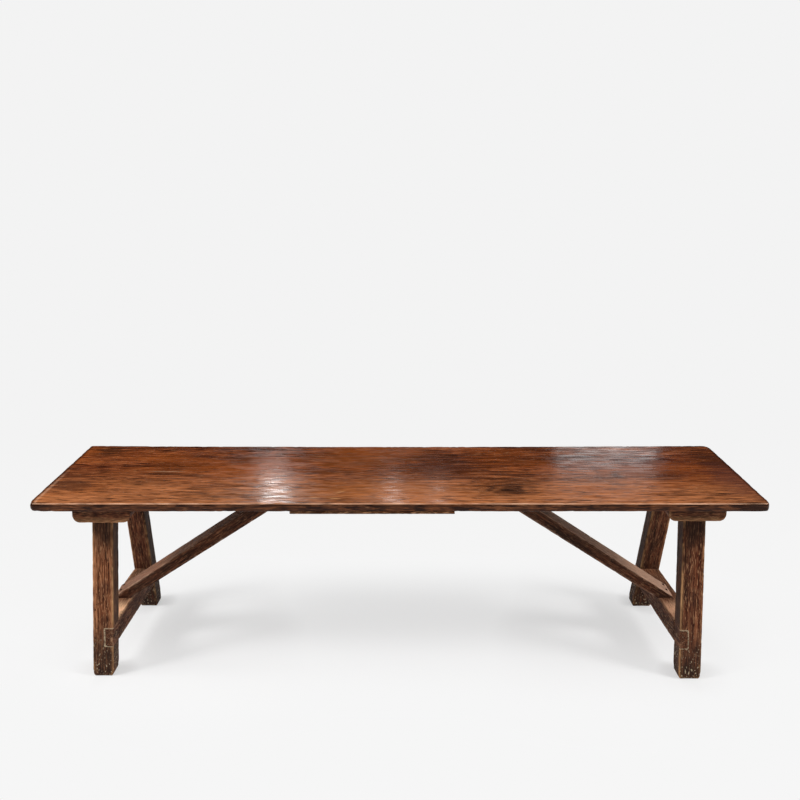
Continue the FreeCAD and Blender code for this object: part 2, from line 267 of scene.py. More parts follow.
@dataclass(frozen=True)
class OldOak:
    """Hewn oak, darkened by hands, grime and painted shade: dry fibres, tan where it is worn and where highlights are
    painted, dusty at the floor.
    """

    dark: str = "#351a12"
    middle: str = "#5f3323"
    light: str = "#8d583c"
    crack: str = "#140a07"
    fibre: str = "#bd8b66"
    rubbed_and_highlight: str = "#cf9d6e"
    soot_and_shade: str = "#30241f"
    dust: str = "#cdbb9c"
    dust_mm: float = 230.0
    specular: float = 0.02

    def material(self, name: str, grain: Grain) -> bpy.types.Material:
        """Make the material of one timber.

        Args:
            name: Name of the material.
            grain: Frame of the timber's grain.

        Returns:
            The material.
        """
        material = new_material(name)
        tree = material.node_tree
        # Fibres, splits and pits are drawn coarser than real ones, so that they show from across a room.
        streak = grain.figure(tree, 80, 3.8, 4.0, 0.3)
        band = grain.figure(tree, 300, 22, 3.0, 0.3)
        patch = grain.figure(tree, 150, 70, 4.0)
        split = grain.figure(tree, 55, 3.2, 3.0, 0.3)
        hair = grain.figure(tree, 26, 3.2, 2.0, 0.2)
        pit = grain.figure(tree, 13, 5, 3.0)
        speck = grain.figure(tree, 9, 6, 2.0)
        figure = add(tree, MATH, {"operation": "MULTIPLY_ADD"}, {
            0: streak, 1: 0.6, 2: add(tree, MATH, {"operation": "MULTIPLY"}, {0: band, 1: 0.4})})
        to_middle = add(tree, RANGE, None, {0: figure, 1: 0.38, 2: 0.5, 3: 0.0, 4: 1.0})
        to_light = add(tree, RANGE, None, {0: figure, 1: 0.48, 2: 0.62, 3: 0.0, 4: 1.0})
        colour = add(tree, MIX, RGBA, {0: to_middle, 6: linear(self.dark), 7: linear(self.middle)}, COLOUR_OUT)
        colour = add(tree, MIX, RGBA, {0: to_light, 6: colour, 7: linear(self.light)}, COLOUR_OUT)
        shade = add(tree, RANGE, None, {0: patch, 1: 0.46, 2: 0.66, 3: 0.0, 4: 0.6})
        colour = add(tree, MIX, RGBA, {0: shade, 6: colour, 7: linear(self.soot_and_shade)}, COLOUR_OUT)
        hairs = add(tree, RANGE, None, {0: hair, 1: 0.55, 2: 0.66, 3: 0.0, 4: 0.62})
        colour = add(tree, MIX, RGBA, {0: hairs, 6: colour, 7: linear(self.fibre)}, COLOUR_OUT)
        splits = add(tree, RANGE, None, {0: split, 1: 0.42, 2: 0.35, 3: 0.0, 4: 0.85})
        colour = add(tree, MIX, RGBA, {0: splits, 6: colour, 7: linear(self.crack)}, COLOUR_OUT)
        pits = add(tree, RANGE, None, {0: pit, 1: 0.61, 2: 0.69, 3: 0.0, 4: 0.8})
        colour = add(tree, MIX, RGBA, {0: pits, 6: colour, 7: linear(self.crack)}, COLOUR_OUT)
        # This attribute darkens with grime and with painted shade on faces turned from the light.
        dirt_and_shade = add(tree, ATTRIBUTE, {"attribute_name": DIRT_AND_SHADE}, None, FACTOR_OUT)
        bare = add(tree, RANGE, None, {0: streak, 1: 0.5, 2: 0.66, 3: 1.0, 4: 0.6})
        dirt_and_shade_amount = add(tree, MATH, {"operation": "MULTIPLY"}, {0: dirt_and_shade, 1: bare})
        colour = add(tree, MIX, RGBA, {0: dirt_and_shade_amount, 6: colour, 7: linear(self.soot_and_shade)}, COLOUR_OUT)
        height = add(tree, SPLIT, None, {0: add(tree, COORDINATES, None, None, "Object")}, "Z")
        low = add(tree, RANGE, {"interpolation_type": "SMOOTHSTEP"}, {
            0: height, 1: self.dust_mm * MM, 2: 0.0, 3: 0.0, 4: 1.0})
        specks = add(tree, RANGE, None, {0: speck, 1: 0.62, 2: 0.69, 3: 0.0, 4: 0.9})
        dusty = add(tree, MATH, {"operation": "MULTIPLY"}, {0: low, 1: specks})
        colour = add(tree, MIX, RGBA, {0: dusty, 6: colour, 7: linear(self.dust)}, COLOUR_OUT)
        # This attribute pales the wood where it is worn and where highlights are painted.
        rub_and_highlight = add(tree, ATTRIBUTE, {"attribute_name": RUB_AND_HIGHLIGHT}, None, FACTOR_OUT)
        broken = add(tree, RANGE, None, {0: hair, 1: 0.34, 2: 0.56, 3: 0.5, 4: 1.0})
        worn = add(tree, MATH, {"operation": "MULTIPLY"}, {0: rub_and_highlight, 1: broken})
        colour = add(tree, MIX, RGBA, {0: worn, 6: colour, 7: linear(self.rubbed_and_highlight)}, COLOUR_OUT)
        seam = add(tree, ATTRIBUTE, {"attribute_name": SEAM}, None, FACTOR_OUT)
        edge = add(tree, RANGE, None, {0: seam, 1: 0.7, 2: 0.97, 3: 0.0, 4: 0.8})
        dashes = add(tree, RANGE, None, {0: pit, 1: 0.42, 2: 0.56, 3: 0.15, 4: 1.0})
        line = add(tree, MATH, {"operation": "MULTIPLY"}, {0: edge, 1: dashes})
        colour = add(tree, MIX, RGBA, {0: line, 6: colour, 7: linear(self.dust)}, COLOUR_OUT)
        rough = add(tree, RANGE, None, {0: figure, 1: 0.35, 2: 0.65, 3: 0.66, 4: 0.46})
        relief = add(tree, BUMP, None, {"Height": streak, "Distance": 1.6 * MM})
        relief = add(tree, BUMP, None, {"Height": split, "Distance": 1.0 * MM, "Normal": relief})
        relief = add(tree, BUMP, {"invert": True}, {"Height": pits, "Distance": 0.8 * MM, "Normal": relief})
        shader = add(tree, SHADER, None, {"Base Color": colour, "Roughness": rough, "Normal": relief,
                                          "IOR": 1.5, "Specular IOR Level": self.specular})
        add(tree, OUTPUT, None, {"Surface": shader})
        return material


@dataclass(frozen=True)
class WaxedWalnut:
    """One walnut board under old wax: red-brown figure with a soft gloss that the grain breaks into dashes."""

    dark: str = "#30140a"
    middle: str = "#622f19"
    light: str = "#98542e"
    orange: str = "#974c1a"
    front_tone: str = "#cd8453"
    pore: str = "#1e0b05"
    hair: str = "#cf9468"
    rubbed_and_highlight: str = "#e2b292"
    soot_and_shade: str = "#2a1207"
    height: float = 0.76
    specular: float = 0.14
    marks: tuple[Mark, ...] = (
        Mark(-200, 170, 300, 190, "#94501f", 0.4, 0.0, 0.7),
        Mark(-90, -220, 330, 130, "#a85c22", 0.35, 0.0, 0.7),
        Mark(200, 40, 300, 190, "#45200f", 0.6, 0.0, 0.6),
        Mark(430, -224, 155, 125, "#2c1812", 0.85, 0.0, 0.2, 3.0),
        Mark(446, -230, 56, 50, "#24140f", 0.75, 0.0, 0.3),
        Mark(431, -24, 60, 40, "#3a2118", 0.5),
        Mark(913, -29, 44, 40, "#2b1a15", 0.7),
        Mark(896, -168, 44, 30, "#33201a", 0.6),
        Mark(725, -352, 40, 16, "#2e1c14", 0.6),
        Mark(1120, 60, 330, 300, "#4f2013", 0.45, 0.0, 0.6),
        Mark(1395, 190, 130, 220, "#2e1812", 0.7, 0.0, 0.6),
        Mark(1400, -110, 130, 280, "#553028", 0.65, 0.0, 0.4),
        Mark(1380, -408, 90, 46, "#190d09", 0.85, 0.0, 0.4),
        Mark(-1316, 290, 75, 75, "#2a1a13", 0.65),
        Mark(-1345, -150, 110, 110, "#37201a", 0.6),
        Mark(-1405, -408, 70, 42, "#190d09", 0.85, 0.0, 0.4),
        Mark(-950, -30, 130, 16, "#33190e", 0.6),
        Mark(-1000, 4, 90, 5, "#c49a78", 0.55, 0.0, 0.5),
        Mark(-700, 190, 110, 60, "#371b0f", 0.55),
        Mark(-232, -253, 26, 4, "#d6a06a", 0.6, 38.0, 0.4),
        Mark(-252, -330, 24, 5, "#d6a06a", 0.55, -12.0, 0.5),
        Mark(-335, -322, 20, 5, "#d6a06a", 0.5, 8.0, 0.5),
    )

    def material(self, name: str, grain: Grain) -> bpy.types.Material:
        """Make the plank's material.

        Args:
            name: Name of the material.
            grain: Frame of the plank's grain.

        Returns:
            The material.
        """
        material = new_material(name)
        tree = material.node_tree
        broad = grain.figure(tree, 700, 55, 3.0, 0.5)
        streak = grain.figure(tree, 260, 13, 5.0, 0.6)
        fine = grain.figure(tree, 70, 6.5, 5.0, 0.3)
        patch = grain.figure(tree, 420, 110, 4.0)
        zone = grain.figure(tree, 600, 190, 2.0)
        # Pores and pale fibres are drawn coarser than real ones, so that they show from across a room.
        pore = grain.figure(tree, 60, 5.5, 3.0)
        hair = grain.figure(tree, 44, 5, 3.0, 0.2)
        plane = grain.figure(tree, 120, 13, 2.0)
        part = add(tree, MATH, {"operation": "MULTIPLY_ADD"}, {
            0: streak, 1: 0.34, 2: add(tree, MATH, {"operation": "MULTIPLY"}, {0: broad, 1: 0.2})})
        figure = add(tree, MATH, {"operation": "MULTIPLY_ADD"}, {0: fine, 1: 0.46, 2: part})
        to_middle = add(tree, RANGE, None, {0: figure, 1: 0.4, 2: 0.49, 3: 0.0, 4: 1.0})
        to_light = add(tree, RANGE, None, {0: figure, 1: 0.49, 2: 0.59, 3: 0.0, 4: 1.0})
        colour = add(tree, MIX, RGBA, {0: to_middle, 6: linear(self.dark), 7: linear(self.middle)}, COLOUR_OUT)
        colour = add(tree, MIX, RGBA, {0: to_light, 6: colour, 7: linear(self.light)}, COLOUR_OUT)
        warm = add(tree, RANGE, None, {0: zone, 1: 0.5, 2: 0.68, 3: 0.0, 4: 0.7})
        colour = add(tree, MIX, RGBA, {0: warm, 6: colour, 7: linear(self.orange)}, COLOUR_OUT)
        stain = add(tree, RANGE, None, {0: patch, 1: 0.5, 2: 0.72, 3: 0.0, 4: 0.6})
        colour = add(tree, MIX, RGBA, {0: stain, 6: colour, 7: linear(self.dark)}, COLOUR_OUT)
        # The top's colour turns paler towards its front edge.
        across = add(tree, SPLIT, None, {0: add(tree, COORDINATES, None, None, "Object")}, "Y")
        front = add(tree, RANGE, {"interpolation_type": "SMOOTHSTEP"}, {0: across, 1: 0.1, 2: -0.36, 3: 0.0, 4: 0.58})
        toward_front = add(tree, MATH, {"operation": "MULTIPLY"}, {
            0: front, 1: add(tree, RANGE, None, {0: figure, 1: 0.4, 2: 0.58, 3: 0.25, 4: 1.0})})
        colour = add(tree, MIX, RGBA, {0: toward_front, 6: colour, 7: linear(self.front_tone)}, COLOUR_OUT)
        pores = add(tree, RANGE, None, {0: pore, 1: 0.55, 2: 0.65, 3: 0.0, 4: 0.75})
        colour = add(tree, MIX, RGBA, {0: pores, 6: colour, 7: linear(self.pore)}, COLOUR_OUT)
        hairs = add(tree, RANGE, None, {0: hair, 1: 0.64, 2: 0.74, 3: 0.0, 4: 0.5})
        colour = add(tree, MIX, RGBA, {0: hairs, 6: colour, 7: linear(self.hair)}, COLOUR_OUT)
        for mark in self.marks:
            colour = mark.over(tree, colour, streak, self.height)
        # This attribute darkens with grime and with painted shade on the plank's edges and underside.
        dirt_and_shade = add(tree, ATTRIBUTE, {"attribute_name": DIRT_AND_SHADE}, None, FACTOR_OUT)
        bare = add(tree, RANGE, None, {0: pore, 1: 0.48, 2: 0.62, 3: 1.0, 4: 0.4})
        dirt_and_shade_amount = add(tree, MATH, {"operation": "MULTIPLY"}, {0: dirt_and_shade, 1: bare})
        colour = add(tree, MIX, RGBA, {0: dirt_and_shade_amount, 6: colour, 7: linear(self.soot_and_shade)}, COLOUR_OUT)
        # This attribute pales the wood where it is worn and where highlights are painted.
        rub_and_highlight = add(tree, ATTRIBUTE, {"attribute_name": RUB_AND_HIGHLIGHT}, None, FACTOR_OUT)
        broken = add(tree, RANGE, None, {0: fine, 1: 0.3, 2: 0.55, 3: 0.35, 4: 1.0})
        worn = add(tree, MATH, {"operation": "MULTIPLY"}, {0: rub_and_highlight, 1: broken})
        colour = add(tree, MIX, RGBA, {0: worn, 6: colour, 7: linear(self.rubbed_and_highlight)}, COLOUR_OUT)
        rough = add(tree, RANGE, None, {0: plane, 1: 0.42, 2: 0.58, 3: 0.33, 4: 0.15})
        relief = add(tree, BUMP, None, {"Height": plane, "Distance": 0.4 * MM})
        relief = add(tree, BUMP, None, {"Height": fine, "Distance": 0.2 * MM, "Normal": relief})
        shader = add(tree, SHADER, None, {"Base Color": colour, "Roughness": rough, "Normal": relief,
                                          "IOR": 1.5, "Specular IOR Level": self.specular})
        add(tree, OUTPUT, None, {"Surface": shader})
        return material


@dataclass(frozen=True)
class RivenPeg:
    """Riven oak pegs and wedges: dry end grain, a little paler than the timbers they hold."""

    dark: str = "#38230f"
    light: str = "#80593a"

    def material(self, name: str, grain: Grain) -> bpy.types.Material:
        """Make the material of pegs or wedges along a grain."""
        material = new_material(name)
        tree = material.node_tree
        fibre = grain.figure(tree, 45, 2.4, 4.0, 0.4)
        tone = add(tree, RANGE, None, {0: fibre, 1: 0.35, 2: 0.65, 3: 0.0, 4: 1.0})
        colour = add(tree, MIX, RGBA, {0: tone, 6: linear(self.dark), 7: linear(self.light)}, COLOUR_OUT)
        relief = add(tree, BUMP, None, {"Height": fibre, "Distance": 0.4 * MM})
        shader = add(tree, SHADER, None, {"Base Color": colour, "Roughness": 0.7, "Normal": relief, "IOR": 1.5})
        add(tree, OUTPUT, None, {"Surface": shader})
        return material


@dataclass(frozen=True)
class ForgedIron:
    """Hand-forged nail iron: black scale, dull, with brown rust in its pits."""

    scale: str = "#1d1a18"
    rust: str = "#4c2c19"

    def material(self, name: str, grain: Grain) -> bpy.types.Material:
        """Make the material of nails along a grain."""
        material = new_material(name)
        tree = material.node_tree
        pits = grain.figure(tree, 3.5, 3.5, 4.0)
        tone = add(tree, RANGE, None, {0: pits, 1: 0.42, 2: 0.64, 3: 0.0, 4: 1.0})
        colour = add(tree, MIX, RGBA, {0: tone, 6: linear(self.scale), 7: linear(self.rust)}, COLOUR_OUT)
        rough = add(tree, RANGE, None, {0: pits, 1: 0.4, 2: 0.65, 3: 0.45, 4: 0.8})
        relief = add(tree, BUMP, None, {"Height": pits, "Distance": 0.4 * MM})
        shader = add(tree, SHADER, None, {"Base Color": colour, "Metallic": 0.8, "Roughness": rough, "Normal": relief})
        add(tree, OUTPUT, None, {"Surface": shader})
        return material


@dataclass
class Timber:
    """One timber of the table, worn from a copy of its node.

    Attributes:
        node: Name of the node that it stands for.
        run: World axis that its grain mostly follows.
        finish: Finish that dresses it.
        slot: First part of its material's name.
        seed: Number that makes its figure and wear its own.
        cell_mm: Spacing of the cuts that dice its faces, along and across.
        hewn_mm: Depth of the long waves that axe and plane left.
        wear_mm: Depth of the wear along its corners.
        rub_share: How pale the wear of its corners makes them.
        wide: How much wider than thick the cells of its figure are.
        lap_mm: Lowest and highest place of its lap's outline.
        lap_out_mm: How far from the table's middle line that outline starts.
    """

    node: str
    run: Run
    finish: OldOak | WaxedWalnut
    slot: str
    seed: int
    cell_mm: tuple[float, float] = (9.0, 8.0)
    hewn_mm: float = 0.6
    wear_mm: float = 1.8
    rub_share: float = 0.7
    wide: float = 1.0
    lap_mm: tuple[float, float] = (0.0, 0.0)
    lap_out_mm: float = 280.0
    lap_line_mm: tuple[float, float] = (1.6, 5.0)
    stations: tuple[float, float] = (0.3, 0.7)
    merge_mm: float = 0.02
    corner_mm: float = 1.2
    shortest_corner_mm: float = 9.0
    reach_mm: float = 12.0
    flat_deg: float = 0.6
    sharp_deg: float = 38.0

    def build(self, nodes: dict[str, bpy.types.Object]) -> None:
        """Carve, wear and dress the timber, and let it stand for its node.

        Args:
            nodes: The frame's nodes by name.
        """
        self.low, self.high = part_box(self.node)
        shape = bmesh.new()
        shape.from_mesh(nodes[self.node].data)
        bmesh.ops.remove_doubles(shape, verts=shape.verts, dist=self.merge_mm * MM)
        bmesh.ops.dissolve_limit(shape, angle_limit=math.radians(self.flat_deg), verts=shape.verts, edges=shape.edges)
        self.spine = [self.read_section(shape, share) for share in self.stations]
        self.soften_corners(shape)
        self.dice(shape)
        self.wear(shape)
        piece = self.to_object(shape)
        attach(piece, BODY)
        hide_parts(self.node)
        LOG.info("%s: %d faces", piece.name, len(piece.data.polygons))

    def read_section(self, shape: bmesh.types.BMesh, share: float) -> tuple[Vector, Vector]:
        """Read the timber's section at a share of its length.

        Args:
            shape: The clean copy.
            share: Place along the timber, from 0 to 1.

        Returns:
            The section's centre and its half sizes.
        """
        axis = self.run.value
        point, normal = Vector(), Vector()
        point[axis] = self.low[axis] + (self.high[axis] - self.low[axis]) * share
        normal[axis] = 1.0
        copy = shape.copy()
        cut = bmesh.ops.bisect_plane(copy, geom=copy.verts[:] + copy.edges[:] + copy.faces[:],
                                     plane_co=point, plane_no=normal, dist=self.merge_mm * MM)
        ring = [item.co for item in cut["geom_cut"] if isinstance(item, bmesh.types.BMVert)]
        least = Vector([min(place[index] for place in ring) for index in range(3)])
        most = Vector([max(place[index] for place in ring) for index in range(3)])
        copy.free()
        return (least + most) / 2, (most - least) / 2

    def nearness(self, place: Vector) -> float:
        """Nearness of a place to the timber's corners, from 0 to 1."""
        axis = self.run.value
        (start, start_half), (end, end_half) = self.spine
        share = (place[axis] - start[axis]) / (end[axis] - start[axis])
        depths = []
        for index in range(3):
            if index != axis:
                middle = start[index] + (end[index] - start[index]) * share
                half = start_half[index] + (end_half[index] - start_half[index]) * share
                depths.append(max(half - abs(place[index] - middle), 0.0) / MM)
        tail = max(min(place[axis] - self.low[axis], self.high[axis] - place[axis]), 0.0) / MM
        reach = min(max(depths), max(tail, min(depths)))
        return 1.0 - smooth_step(reach, 0.0, self.reach_mm)

    def soften_corners(self, shape: bmesh.types.BMesh) -> None:
        """Bevel the sharp corners that the node still has, and note the outline of its laps."""
        corners = []
        self.lap_lines = []
        for edge in shape.edges:
            if len(edge.link_faces) != 2 or edge.calc_face_angle() < math.radians(self.sharp_deg):
                continue
            if all(self.in_lap(vert.co) for vert in edge.verts):
                self.lap_lines.append(tuple(vert.co.copy() for vert in edge.verts))
            if edge.is_convex and edge.calc_length() > self.shortest_corner_mm * MM:
                corners.append(edge)
        if corners:
            bmesh.ops.bevel(shape, geom=corners, offset=self.corner_mm * MM, affect="EDGES", segments=2,
                            profile=0.5, material=-1, clamp_overlap=True)

    def in_lap(self, place: Vector) -> bool:
        """Whether a place is at the outer end of a lap."""
        return self.lap_mm[0] < place.z / MM < self.lap_mm[1] and abs(place.y) / MM > self.lap_out_mm

    def seam_at(self, place: Vector) -> float:
        """Nearness of a place to the outline of a lap, from 0 to 1."""
        if not self.lap_lines or not self.in_lap(place):
            return 0.0
        gaps = []
        for start, end in self.lap_lines:
            foot, share = geometry.intersect_point_line(place, start, end)
            foot = start if share < 0 else end if share > 1 else foot
            gaps.append((place - foot).length / MM)
        return 1.0 - smooth_step(min(gaps), *self.lap_line_mm)

    def dice(self, shape: bmesh.types.BMesh) -> None:
        """Cut the faces into cells, so that wear has points to move."""
        for axis in range(3):
            cell = self.cell_mm[0 if axis == self.run.value else 1] * MM
            length = self.high[axis] - self.low[axis]
            count = int(length / cell)
            for index in range(1, count):
                point, normal = Vector(), Vector()
                point[axis] = self.low[axis] + length * index / count
                normal[axis] = 1.0
                bmesh.ops.bisect_plane(shape, geom=shape.verts[:] + shape.edges[:] + shape.faces[:],
                                       plane_co=point, plane_no=normal, dist=self.merge_mm * MM)

    def extra_move(self, place: Vector, near: float) -> Vector:
        """Move that only some timbers make."""
        return Vector()

    def dirt_and_shade_at(self, place: Vector, normal: Vector) -> float:
        """Share of grime and painted shade on a face."""
        return 0.0

    def rub_and_highlight_at(self, place: Vector, normal: Vector, near: float) -> float:
        """How pale a face is from the wear of hands and feet and from painted highlights, besides its corners."""
        return 0.0

    def wear(self, shape: bmesh.types.BMesh) -> None:
        """Sink the faces in long waves, nibble the corners, and note grime with painted shade, wear with painted
        highlights, and seams.
        """
        shape.normal_update()
        layers = shape.verts.layers.float
        rub_and_highlight, dirt_and_shade, seam = layers.new(RUB_AND_HIGHLIGHT), layers.new(DIRT_AND_SHADE), layers.new(SEAM)
        shift = Vector((3.1, 7.7, 5.3)) * self.seed
        stands = self.low.z < MM
        moves = []
        for vert in shape.verts:
            place = vert.co / MM
            near = self.nearness(vert.co)
            wave = 0.5 + 0.5 * noise.noise(place / 170 + shift)
            nibble = 0.5 + 0.5 * noise.noise(place / 38 + shift)
            chip = smooth_step(noise.noise(place / 17 - shift), 0.2, 0.55)
            depth = self.hewn_mm * wave + self.wear_mm * near * (nibble * nibble + 0.7 * chip)
            long_rub = 0.5 + 0.5 * noise.noise(place / 210 - shift)
            pale = near * smooth_step(0.5 * nibble + 0.5 * long_rub + 0.3 * chip, 0.35, 0.75)
            vert[rub_and_highlight] = min(1.0, self.rub_share * pale + self.rub_and_highlight_at(vert.co, vert.normal, near))
            vert[dirt_and_shade] = min(1.0, self.dirt_and_shade_at(vert.co, vert.normal) * (0.75 + 0.5 * nibble))
            vert[seam] = self.seam_at(vert.co)
            if stands and place.z < 1.0:
                depth = 0.0
            moves.append((vert, self.extra_move(vert.co, near) - vert.normal * depth * MM))
        for vert, move in moves:
            vert.co += move

    def to_object(self, shape: bmesh.types.BMesh) -> bpy.types.Object:
        """Make the dressed object, smooth where its faces bend gently."""
        mesh = bpy.data.meshes.new(f"worn_{self.node}")
        shape.to_mesh(mesh)
        shape.free()
        mesh.shade_smooth()
        mesh.set_sharp_from_angle(angle=math.radians(self.sharp_deg))
        piece = bpy.data.objects.new(f"worn_{self.node}", mesh)
        bpy.context.scene.collection.objects.link(piece)
        (start, _), (end, _) = self.spine
        grain = Grain.between(start, end, self.seed, self.wide)
        mesh.materials.append(self.finish.material(f"{self.slot}_{self.node}", grain))
        return piece


@dataclass
class Plank(Timber):
    """The top's one board, which has sagged at the back and lost bits of its corners.

    Attributes:
        sag_mm: How far the middle of its back edge has dipped.
        bitten_mm: Depth of the bite out of its right back corner.
        rounded_mm: How far its left and right front corners are worn back.
        dirt_and_shade_share: How dark its edges and underside are made by grime and painted shade.
    """

    sag_mm: float = 5.0
    bitten_mm: float = 13.0
    rounded_mm: tuple[float, float] = (9.0, 4.0)
    dirt_and_shade_share: float = 0.95

    def extra_move(self, place: Vector, near: float) -> Vector:
        """Dip the back edge, bite the right back corner and round the front corners.

        Args:
            place: Place of the point, in metres.
            near: Its nearness to the corners, unused here.

        Returns:
            The move, in metres.
        """
        upper = (place.z - self.low.z) / (self.high.z - self.low.z)
        middle = 1.0 - (place.x / self.high.x) ** 2
        dip = self.sag_mm * MM * upper * middle * smooth_step(place.y, -0.1, self.high.y)
        move = Vector((0.0, 0.0, -dip))
        right_back = Vector((self.high.x, self.high.y, place.z))
        bite = 1.0 - smooth_step((place - right_back).length / MM, 8.0, 48.0)
        bite *= 0.7 + 0.7 * noise.noise(place / (14 * MM))
        move += Vector((-1.0, -0.3, 0.0)) * MM * max(bite, 0.0) * self.bitten_mm
        nose = 0.4 + 0.6 * (2 * upper - 1) ** 2
        for end, depth_mm in zip((self.low.x, self.high.x), self.rounded_mm):
            front = Vector((end, self.low.y, place.z))
            worn = 1.0 - smooth_step((place - front).length / MM, 4.0, 46.0)
            move += Vector((-math.copysign(1.0, end), 0.5, 0.0)) * MM * worn * nose * depth_mm
        return move

    def dirt_and_shade_at(self, place: Vector, normal: Vector) -> float:
        """Painted shade on the edge faces and the underside, and darker lines along the back and the ends."""
        back_line = smooth_step(place.y, self.high.y - 0.016, self.high.y - 0.006)
        end_line = smooth_step(abs(place.x), self.high.x - 0.018, self.high.x - 0.007)
        return max(1.0 - smooth_step(normal.z, 0.1, 0.7), 0.8 * back_line, 0.9 * end_line) * self.dirt_and_shade_share

    def rub_and_highlight_at(self, place: Vector, normal: Vector, near: float) -> float:
        """Pale line on the upper corner of the front edge, partly wear and partly a painted highlight, and a pale line
        inside the dark band of the left end.
        """
        upper = smooth_step(normal.z, 0.2, 0.6)
        at_front = 1.0 - smooth_step(place.y, self.low.y + 0.002, self.low.y + 0.009)
        at_front *= 0.65 + 0.6 * noise.noise(place / (60 * MM))
        at_end = smooth_step(-place.x, self.high.x - 0.027, self.high.x - 0.021)
        at_end *= 1.0 - smooth_step(-place.x, self.high.x - 0.018, self.high.x - 0.012)
        at_end *= 1.0 - smooth_step(place.y, -0.2, 0.1)
        return upper * max(at_front, 0.4 * at_end)


@dataclass
class Leg(Timber):
    """A splayed leg: painted shade under the bearer and on faces turned inward and back, grimy at the floor, worn pale
    along its inner front corner.

    Attributes:
        head_shade_mm: Heights between which the painted shade under the bearer sets in.
        grime_mm: Height that the floor's grime reaches.
        foot_round_mm: How far the foot's corners are worn back.
    """

    head_shade_mm: tuple[float, float] = (500.0, 630.0)
    grime_mm: float = 320.0
    foot_round_mm: float = 7.0

    def dirt_and_shade_at(self, place: Vector, normal: Vector) -> float:
        """Painted shade at the head under the bearer, grime at the foot, and painted shade on the faces turned inward
        and back.
        """
        head = 0.85 * smooth_step(place.z / MM, *self.head_shade_mm)
        foot = 0.8 * (1.0 - smooth_step(place.z / MM, 60.0, self.grime_mm))
        foot += 0.15 * (1.0 - smooth_step(place.z / MM, 10.0, 70.0))
        inner = 0.85 * smooth_step(-normal.x * math.copysign(1.0, place.x), 0.5, 0.9)
        back = 0.35 * smooth_step(-normal.y * math.copysign(1.0, place.y), 0.5, 0.9)
        return max(head, foot, inner, back)

    def rub_and_highlight_at(self, place: Vector, normal: Vector, near: float) -> float:
        """Rubbing along the corner that feet and knees pass."""
        middle = (self.low.x + self.high.x) / 2
        inner = smooth_step((middle - place.x) * math.copysign(1.0, place.x), 0.02, 0.04)
        low = 1.0 - smooth_step(place.z / MM, 330.0, 560.0)
        return 0.55 * near * near * inner * low * smooth_step(-place.y, 0.0, 0.1)

    def extra_move(self, place: Vector, near: float) -> Vector:
        """Wear the foot's corners back.

        Args:
            place: Place of the point, in metres.
            near: Its nearness to the corners.

        Returns:
            The move, in metres.
        """
        (start, _), (end, _) = self.spine
        share = (place.z - start.z) / (end.z - start.z)
        inward = start + (end - start) * share - place
        inward.z = 0.0
        low = 1.0 - smooth_step(place.z / MM, 4.0, 34.0)
        return inward.normalized() * self.foot_round_mm * MM * low * near


@dataclass
class Bearer(Timber):
    """A cross piece under the top: painted shade where the top shades it, a painted highlight along its rounded lower
    edges.
    """

    def dirt_and_shade_at(self, place: Vector, normal: Vector) -> float:
        """Painted shade from the top on the upper half of its ends and sides, over a slight darkening of the whole
        bearer.
        """
        height = (place.z - self.low.z) / (self.high.z - self.low.z)
        return 0.15 + 0.4 * smooth_step(height, 0.3, 0.75)

    def rub_and_highlight_at(self, place: Vector, normal: Vector, near: float) -> float:
        """Painted highlight along the rounded lower edges of its ends."""
        height = (place.z - self.low.z) / (self.high.z - self.low.z)
        return 0.3 * (1.0 - smooth_step(height, 0.1, 0.5)) * smooth_step(-normal.y, 0.2, 0.8)


@dataclass
class Stretcher(Timber):
    """A low rail that feet have rested on: bright wood on top before the brace, partly wear and partly painted light.
    """

    worn_mm: tuple[float, float] = (-60.0, -150.0)

    def dirt_and_shade_at(self, place: Vector, normal: Vector) -> float:
        """Painted shade on the faces that don't face up."""
        return 0.5 * (1.0 - smooth_step(normal.z, 0.3, 0.8))

    def rub_and_highlight_at(self, place: Vector, normal: Vector, near: float) -> float:
        """Wear on the top, most of all at the front, paled further by painted light on the top face."""
        front = smooth_step(-place.y / MM, -self.worn_mm[0], -self.worn_mm[1])
        return smooth_step(normal.z, 0.6, 0.9) * (0.12 + 0.88 * front)


@dataclass
class Brace(Timber):
    """A tapered diagonal brace: pale dust and a painted sheen on its upper side, painted shade on the faces below."""

    dust_and_sheen_share: float = 0.55

    def dirt_and_shade_at(self, place: Vector, normal: Vector) -> float:
        """Painted shade on its upright and lower faces."""
        return 0.6 * (1.0 - smooth_step(normal.z, 0.1, 0.5))

    def rub_and_highlight_at(self, place: Vector, normal: Vector, near: float) -> float:
        """Dust and a painted sheen on its upper side."""
        return self.dust_and_sheen_share * smooth_step(normal.z, 0.3, 0.6)


@dataclass
class Fasteners:
    """Pegs, wedges or nails, which keep their nodes' shapes.

    Attributes:
        nodes: Names of the nodes.
        finish: Finish that dresses them.
    """

    nodes: tuple[str, ...]
    finish: RivenPeg | ForgedIron

    def dress(self, frame_nodes: dict[str, bpy.types.Object]) -> None:
        """Give each node its own material.

        Args:
            frame_nodes: The frame's nodes by name.
        """
        for index, name in enumerate(self.nodes):
            low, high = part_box(name)
            grain = Grain.between(low, Vector((low.x, low.y, high.z)), index + 1)
            materials = frame_nodes[name].data.materials
            materials.clear()
            materials.append(self.finish.material(f"finish_{name}", grain))
            LOG.info("%s: dressed", name)


